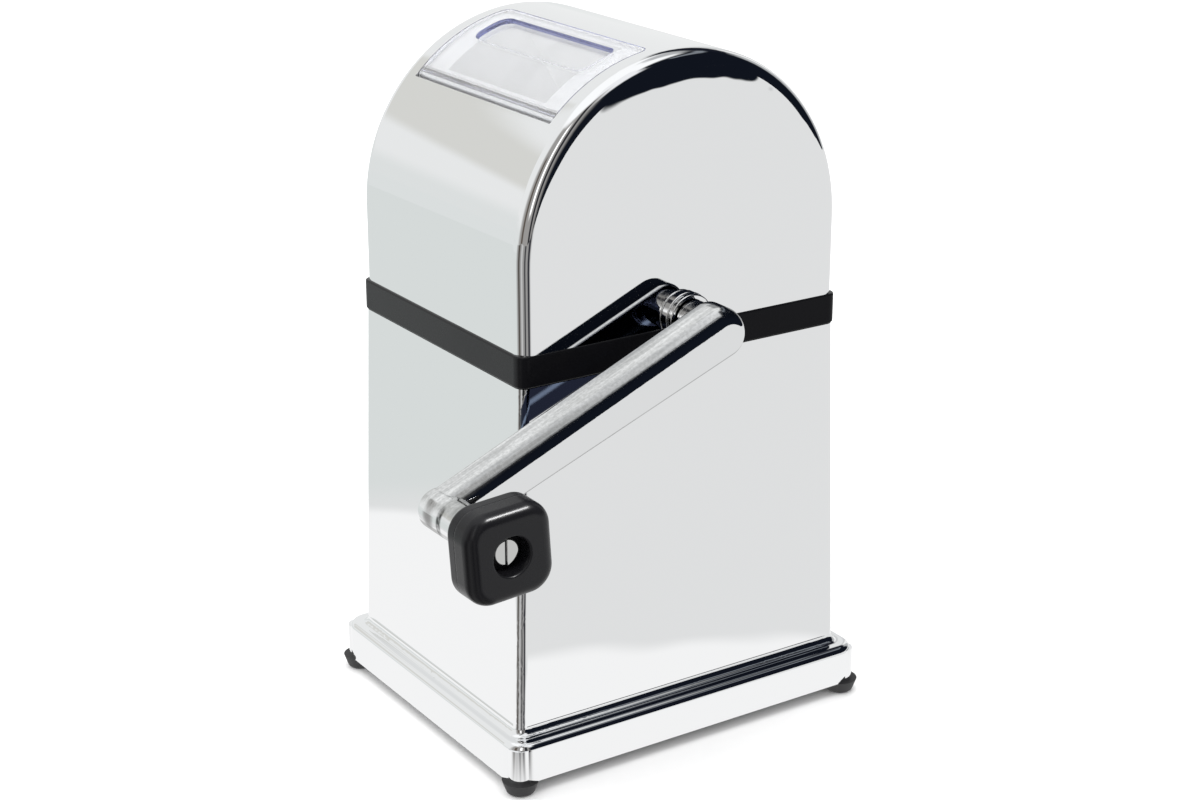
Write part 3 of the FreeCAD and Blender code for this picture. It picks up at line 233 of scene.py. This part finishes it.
def polar(graph, x, y, middle=(0.0, 0.0)):
    """Distance from a point, and direction from the front towards the right in degrees."""
    across = graph.math("SUBTRACT", x, middle[0])
    forward = graph.math("SUBTRACT", middle[1], y)
    angle = graph.math("MULTIPLY", graph.math("ARCTAN2", across, forward), 180 / math.pi)
    return graph.length(across, forward), angle


def make_room():
    """Walls, softbox and dark room, seen only in the gloss."""
    bpy.ops.mesh.primitive_uv_sphere_add(segments=96, ring_count=48, radius=ROOM_RADIUS)
    room = bpy.context.object
    room.name = "Room"
    graph, target = emission_only("RoomLight", room)
    x, y, z = graph.split("Object")
    _, angle = polar(graph, x, y)
    height = graph.math("MULTIPLY", z, 1 / ROOM_RADIUS)
    elevation = graph.math("MULTIPLY", graph.math("ARCSINE", height), 180 / math.pi)
    colour = PALE_WALL
    for _, centre, half, level, slope, half_height, soft, shade in ROOM:
        gap = wrapped_gap(graph, angle, centre)
        across = soft_band(graph, gap, half, soft)
        rise = graph.math("SUBTRACT", graph.math("SUBTRACT", elevation, float(level)),
                          graph.math("MULTIPLY", gap, float(slope)))
        upright = soft_band(graph, rise, half_height, min(soft, STEEPEST_SOFTNESS))
        share = graph.math("MULTIPLY", across, upright)
        colour = graph.mix(share, colour, shade)
    graph.feed(target, colour)


def make_paper():
    """The floor as the chrome sees it: bright near the object, grey further out."""
    reach = ROOM_RADIUS * 0.7
    paper = card("Paper", -reach, PAPER_EDGE, reach, reach)
    paper.location.z = -0.2 * MM
    graph, target = emission_only("PaperLight", paper)
    x, y, _ = graph.split("Object")
    away, angle = polar(graph, x, y, NEAR_CORNER)
    on_paper = graph.smooth(y, PAPER_EDGE, PAPER_EDGE + PAPER_FADE)
    colour = graph.mix(on_paper, BEYOND_PAPER, PALE_PAPER)
    wander = graph.shift(graph.position(), 9.0, BRIGHT_WANDER, detail=2.0)
    from_middle, _ = polar(graph, x, y, BRIGHT_MIDDLE)
    edge = graph.math("ADD", from_middle, wander)
    lit = graph.smooth(edge, BRIGHT_REACH - BRIGHT_EDGE, BRIGHT_REACH + BRIGHT_EDGE, 1.0, 0.0)
    colour = graph.mix(lit, colour, BRIGHT)
    for _, centre, half, middle, half_reach, soft, shade in PAPER:
        across = soft_band(graph, wrapped_gap(graph, angle, centre), half, soft)
        out = graph.math("SUBTRACT", away, middle)
        share = graph.math("MULTIPLY", across, soft_band(graph, out, half_reach, PAPER_SOFTNESS))
        colour = graph.mix(share, colour, shade)
    graph.feed(target, colour)


def card(name, left, front, right, back):
    """A flat rectangle at table height."""
    corners = [(left, front, 0), (right, front, 0), (right, back, 0), (left, back, 0)]
    mesh = bpy.data.meshes.new(name)
    mesh.from_pydata(corners, [], [(0, 1, 2, 3)])
    mesh.update()
    item = bpy.data.objects.new(name, mesh)
    bpy.context.scene.collection.objects.link(item)
    return item


def make_floor():
    """Plain pale floor under the object, which the gloss doesn't see."""
    floor = card("Floor", -FLOOR_REACH, -FLOOR_REACH, FLOOR_REACH, FLOOR_REACH)
    material, graph, inputs = principled("PaleFloor", (0.93, 0.93, 0.93), 0.85)
    grain = graph.noise(graph.position(), 220.0)
    graph.feed(inputs["Base Color"], graph.mix(grain, (0.92, 0.92, 0.92), (0.94, 0.94, 0.94)))
    floor.data.materials.append(material)
    floor.visible_glossy = False


def area_light(name, place, target, width, height, power):
    """A rectangular light in metres and watts, which the gloss doesn't see."""
    data = bpy.data.lights.new(name, "AREA")
    data.shape = "RECTANGLE"
    data.size = width
    data.size_y = height
    data.energy = power
    light = bpy.data.objects.new(name, data)
    bpy.context.scene.collection.objects.link(light)
    light.location = place
    aim = Vector(target) - Vector(place)
    light.rotation_euler = aim.to_track_quat("-Z", "Y").to_euler()
    light.visible_glossy = False
    return light


def make_world():
    world = bpy.data.worlds.new("World")
    world.use_nodes = True
    background = world.node_tree.nodes["Background"]
    background.inputs["Color"].default_value = (1.0, 1.0, 1.0, 1.0)
    background.inputs["Strength"].default_value = 1.02
    bpy.context.scene.world = world
    bpy.context.scene.view_settings.view_transform = "Standard"


def make_lights():
    area_light("Overhead", (0.0, 0.3, 2.6), (0, 0, 0), 3.4, 3.4, 75)
    area_light("LeftKey", (-1.4, -0.4, 1.1), (0, 0, 0.12), 0.9, 0.9, 5)
    shine = area_light("KnobShine", (0.36, -0.65, 1.15), (-0.1, -0.11, 0.12), 0.34, 0.14, 16)
    shine.visible_glossy = True
    knob_only = bpy.data.collections.new("KnobShineReceivers")
    knob_only.objects.link(NODES["knob"])
    shine.light_linking.receiver_collection = knob_only


# ---------------------------------------------------------------- materials

DOME_AXIS = 0.192               # metres above the table
DOME_RADIUS = 0.068
PILLOW_REACH = 12.5 * MM        # how far from the rim the dome's flat faces start to fall away
PILLOW_DROP = 0.34 * MM
PILLOW_WANDER = 3.4 * MM
ARM_DEPTH = (-0.0818, -0.0676)  # front and back of the arm
ARM_TURN = 22.0                 # degrees of the arm below the horizontal
ARM_SLANT = 5.0 * MM            # how much the arm's top falls towards the front
CRANK_HEIGHT = JOINTS["crank_spin"]["pos_m"][2]
# Height across the arm of the painted pale streak on its back.
STREAK_LEVEL = CRANK_HEIGHT * math.cos(math.radians(ARM_TURN)) - 0.5 * MM
NECK_PLACE = -0.0817            # where the spindle's seat leaves the arm, along Y
KNOB_PARTING = -0.1080          # the knob's moulding line, along Y
BARREL_EDGE = (2.6 * MM, 3.4 * MM)

PLATING = (0.87, 0.875, 0.88)
ARM_PLATING = (0.84, 0.845, 0.85)
ARM_WORN = (0.24, 0.245, 0.24)
ARM_BRIGHT = (0.90, 0.905, 0.90)
# Painted shade: grey along the arm's lower front edge.
ARM_LOWER_EDGE_SHADE = (0.48, 0.48, 0.48)
# Painted shade: dark ring round the spindle where it leaves the arm.
NECK_PAINTED_SHADE = (0.03, 0.03, 0.03)
# Painted reflection on the arm's back: dark, with a paler streak.
BACK_PAINTED_DARK = (0.022, 0.026, 0.048)
BACK_PAINTED_STREAK = (0.20, 0.25, 0.36)
CLEAR = (0.95, 0.955, 0.97)
# Painted violet tint for the lid's edges, standing in for light bouncing inside the plastic.
EDGE_PAINTED_TINT = (0.55, 0.58, 0.94)


def chrome(name, wave=1.0, smudge=0.02, pillow=False, colour=PLATING):
    """Mirror plating on moulded plastic: slight waviness, fine haze and a few faint smudges."""
    material, graph, inputs = principled(name, colour, 0.03, metallic=1.0)
    where = graph.position()
    haze = graph.noise(where, 55.0, detail=4.0)
    graph.feed(inputs["Roughness"], graph.smooth(haze, 0.45, 0.85, 0.010, 0.010 + smudge))
    swell = graph.noise(where, 26.0, detail=1.0)
    bent = graph.bump(swell, 0.10 * MM * wave, 0.30)
    if pillow:
        bent = graph.bump(face_pillow(graph), 1.0, 1.0, after=bent)
    graph.feed(inputs["Normal"], bent)
    return material


def face_pillow(graph):
    """Height, in metres, by which the dome's flat faces fall away close to their rim."""
    x, _, z = graph.split("Object")
    above = graph.math("MAXIMUM", graph.math("SUBTRACT", z, DOME_AXIS), 0.0)
    inset = graph.math("SUBTRACT", DOME_RADIUS, graph.length(x, above))
    wander = graph.shift(graph.position(), 80.0, PILLOW_WANDER, detail=0.5)
    share = graph.smooth(graph.math("ADD", inset, wander), 0.0, PILLOW_REACH, 1.0, 0.0)
    drop = graph.smooth(x, -0.9 * DOME_RADIUS, -0.5 * DOME_RADIUS, 0.0, -PILLOW_DROP)
    return graph.math("MULTIPLY", share, drop)


def arm_front_colour(graph, facing, on_top, streak, broad, mottle):
    """Bright plating, worn on top, with painted shade along its lower edge and a painted dark ring where
    the spindle leaves.
    """
    speck = graph.noise(graph.position(), 900.0, detail=2.0)
    shade = graph.math("MULTIPLY", graph.smooth(streak, 0.30, 0.70, 0.50, 1.0),
                       graph.smooth(broad, 0.35, 0.65, 0.50, 1.0))
    shade = graph.math("MULTIPLY", shade, graph.smooth(speck, 0.35, 0.65, 0.75, 1.0))
    colour = graph.mix(on_top, ARM_PLATING, graph.mix(shade, ARM_WORN, ARM_BRIGHT))
    # Painted shade: grey on the faces turned down and towards the front.
    lower_edge_shade = graph.smooth(graph.gap(facing["Z"], -0.55), 0.15, 0.30, 1.0, 0.0)
    colour = graph.mix(lower_edge_shade, colour, ARM_LOWER_EDGE_SHADE)
    # Painted shade: a dark, blotchy ring on the arm's front round the spindle.
    from_neck = graph.gap(graph.split("Object")["Y"], NECK_PLACE)
    neck_shade = graph.math("MULTIPLY", graph.smooth(from_neck, 0.6 * MM, 1.9 * MM, 1.0, 0.0),
                      graph.smooth(facing["X"], -0.85, -0.50, 1.0, 0.0))
    neck_shade = graph.math("MULTIPLY", neck_shade, graph.smooth(mottle, 0.36, 0.52, 0.45, 1.0))
    return graph.mix(neck_shade, colour, NECK_PAINTED_SHADE)


def arm_back_painted_reflection(graph, lie, broad):
    """Painted reflection on the arm's back: dark, with a paler painted streak along the arm."""
    from_streak = graph.gap(graph.parts(lie)["Z"], STREAK_LEVEL)
    painted_streak = graph.math("MULTIPLY", graph.smooth(from_streak, 0.2 * MM, 1.6 * MM, 1.0, 0.0),
                     graph.smooth(broad, 0.30, 0.60))
    return graph.mix(painted_streak, BACK_PAINTED_DARK, BACK_PAINTED_STREAK)


def arm_chrome():
    """Plated casting with a slanting top, polishing streaks, a mottled sheen and a painted dark
    reflection on its back.
    """
    material, graph, inputs = principled("ArmChrome", ARM_PLATING, 0.06, metallic=1.0)
    lie = graph.position(stretch=(0.06, 1.0, 1.0), turn=(0.0, math.radians(ARM_TURN), 0.0))
    streak = graph.noise(lie, 420.0, detail=4.0, roughness=0.6)
    broad = graph.noise(lie, 110.0, detail=2.0)
    mottle = graph.noise(graph.position(), 180.0, detail=4.0, roughness=0.6)
    facing = graph.split("Normal")
    on_top = graph.smooth(facing["Z"], 0.35, 0.75)
    # Faces turned to the back get the painted reflection instead of plating.
    painted_back = graph.smooth(facing["Y"], 0.5, 0.9)
    front = arm_front_colour(graph, facing, on_top, streak, broad, mottle)
    graph.feed(inputs["Base Color"], graph.mix(painted_back, front, arm_back_painted_reflection(graph, lie, broad)))
    brushed = graph.math("MULTIPLY", on_top, graph.smooth(streak, 0.3, 0.8, 0.03, 0.20))
    graph.feed(inputs["Roughness"], graph.math("ADD", brushed, 0.02))
    slant = graph.math("MULTIPLY", graph.smooth(graph.split("Object")["Y"], *ARM_DEPTH), ARM_SLANT)
    bent = graph.bump(slant, 1.0, 1.0)
    bent = graph.bump(mottle, 0.06 * MM, 0.6, after=bent)
    graph.feed(inputs["Normal"], graph.bump(streak, 0.03 * MM, 0.6, after=bent))
    return material


def satin_plastic(name, colour, roughness, grain_scale=1400.0, grain_depth=0.02, wear=0.25,
                  shine=0.5, painted_glow=0.0, painted_dark_front=False, parting=None):
    """Moulded plastic with a fine grain, slightly uneven gloss and perhaps a parting line, a painted
    glow or a painted darker front.
    """
    material, graph, inputs = principled(name, colour, roughness, Specular_IOR_Level=shine)
    # Painted light: an even glow that brightens the part though it is no lamp.
    if painted_glow:
        inputs["Emission Color"].default_value = (1.0, 1.0, 1.0, 1.0)
        inputs["Emission Strength"].default_value = painted_glow
    where = graph.position()
    cloud = graph.noise(where, 40.0, detail=4.0)
    darker = tuple(channel * (1 - wear) for channel in colour)
    lighter = tuple(channel * (1 + wear) for channel in colour)
    graph.feed(inputs["Base Color"], graph.mix(cloud, darker, lighter))
    graph.feed(inputs["Roughness"], graph.smooth(cloud, 0.3, 0.7, roughness - 0.05, roughness + 0.06))
    # Painted shade: faces turned to the front reflect less, so they look darker than the sides.
    if painted_dark_front:
        facing = graph.split("Normal")
        graph.feed(inputs["Specular IOR Level"], graph.smooth(facing["Y"], -0.9, -0.4, 0.05, shine))
    grain = graph.noise(where, grain_scale, detail=3.0)
    bent = graph.bump(grain, grain_depth * MM, 0.5)
    if parting is not None:
        groove = graph.smooth(graph.gap(graph.split("Object")["Y"], parting), 0.0, 0.35 * MM)
        bent = graph.bump(groove, 0.12 * MM, 1.0, after=bent)
    graph.feed(inputs["Normal"], bent)
    return material


def turned_steel(name):
    """Bare steel with fine rings round the front-to-back axis."""
    material, graph, inputs = principled(name, (0.62, 0.62, 0.63), 0.28, metallic=1.0)
    where = graph.position(stretch=(1.0, 12.0, 1.0))
    line = graph.noise(where, 260.0, detail=4.0)
    graph.feed(inputs["Roughness"], graph.smooth(line, 0.3, 0.7, 0.18, 0.38))
    graph.feed(inputs["Normal"], graph.bump(line, 0.01 * MM, 0.6))
    return material


def lid_edge(graph):
    """1 on the lid's edges and pocket walls, away from the hinge barrel, where the violet tint is
    painted.
    """
    x, _, z = graph.split("Object")
    facing = graph.split("Normal")
    up = graph.math("SUBTRACT", z, DOME_AXIS)
    level = graph.math("ADD", graph.math("MULTIPLY", facing["X"], x),
                       graph.math("MULTIPLY", facing["Z"], up))
    flatness = graph.math("ABSOLUTE", graph.math("DIVIDE", level, graph.length(up, x)))
    hinge_x, _, hinge_z = JOINTS["lid_swing"]["pos_m"]
    from_hinge, _ = polar(graph, x, z, (hinge_x, hinge_z))
    return graph.math("MULTIPLY", graph.smooth(flatness, 0.35, 0.85, 1.0, 0.0),
                      graph.smooth(from_hinge, *BARREL_EDGE))


def clear_plastic(name):
    """Clear, slightly milky moulding with a violet tint painted on its edges and pocket walls, standing
    in for light bouncing inside the plastic.
    """
    material, graph, inputs = principled(name, CLEAR, 0.015, IOR=1.45)
    graph.feed(inputs["Base Color"], graph.mix(lid_edge(graph), CLEAR, EDGE_PAINTED_TINT))
    cloud = graph.noise(graph.position(), 60.0, detail=3.0)
    graph.feed(inputs["Transmission Weight"], graph.smooth(cloud, 0.3, 0.7, 0.86, 0.90))
    graph.feed(inputs["Roughness"], graph.smooth(cloud, 0.3, 0.7, 0.01, 0.04))
    swell = graph.noise(graph.position(), 45.0, detail=1.0)
    graph.feed(inputs["Normal"], graph.bump(swell, 0.05 * MM, 0.3))
    return material


def paint(names, material):
    for name in names:
        mesh = NODES[name].data
        mesh.materials.clear()
        mesh.materials.append(material)


def paint_plating():
    paint(["lower_casing"], chrome("CasingChrome"))
    paint(["dome_shell"], chrome("DomeChrome", pillow=True))
    paint(["crank_arm"], arm_chrome())
    paint(["shaft_boss", "lid_hinge_pin"], chrome("SmallChrome", wave=0.3, smudge=0.16))
    paint(["knob_spindle"], chrome("SpindleChrome", wave=1.5, smudge=0.12, colour=(0.62, 0.62, 0.61)))


def paint_plastic():
    # The band's front gets the painted shade.
    paint(["seam_band"], satin_plastic("BandPlastic", (0.005, 0.005, 0.006), 0.28, shine=0.25,
                                       painted_dark_front=True))
    paint(["chassis", "bottom_plate"], satin_plastic("BlackPlastic", (0.012, 0.012, 0.013), 0.45))
    paint(["knob"], satin_plastic("KnobPlastic", (0.005, 0.005, 0.006), 0.24, grain_depth=0.03,
                                  shine=0.27, parting=KNOB_PARTING))
    # The hopper gets a painted glow that brightens it as seen through the lid.
    paint(["hopper"], satin_plastic("HopperPlastic", (0.52, 0.53, 0.53), 0.35, wear=0.03, painted_glow=0.27))
    paint(["ice_bin"], satin_plastic("BinPlastic", (0.70, 0.71, 0.72), 0.35, wear=0.03))
    paint(["front_bush", "rear_bush"], satin_plastic("BushNylon", (0.72, 0.70, 0.64), 0.4, wear=0.04))
    paint(["foot_front_left", "foot_front_right", "foot_rear_left", "foot_rear_right"],
          satin_plastic("FootRubber", (0.018, 0.018, 0.019), 0.6, grain_scale=900.0, grain_depth=0.05))
    paint(["lid"], clear_plastic("LidClear"))


def paint_steel():
    paint(["foot_screws", "plate_screws", "dome_screws", "comb_left", "comb_right", "drive_shaft",
           "rotor_blades", "rotor_spacers", "retaining_clip", "arm_set_screw"], turned_steel("Steel"))


make_camera()
make_floor()
make_room()
make_paper()
make_world()
make_lights()
paint_plating()
paint_plastic()
paint_steel()
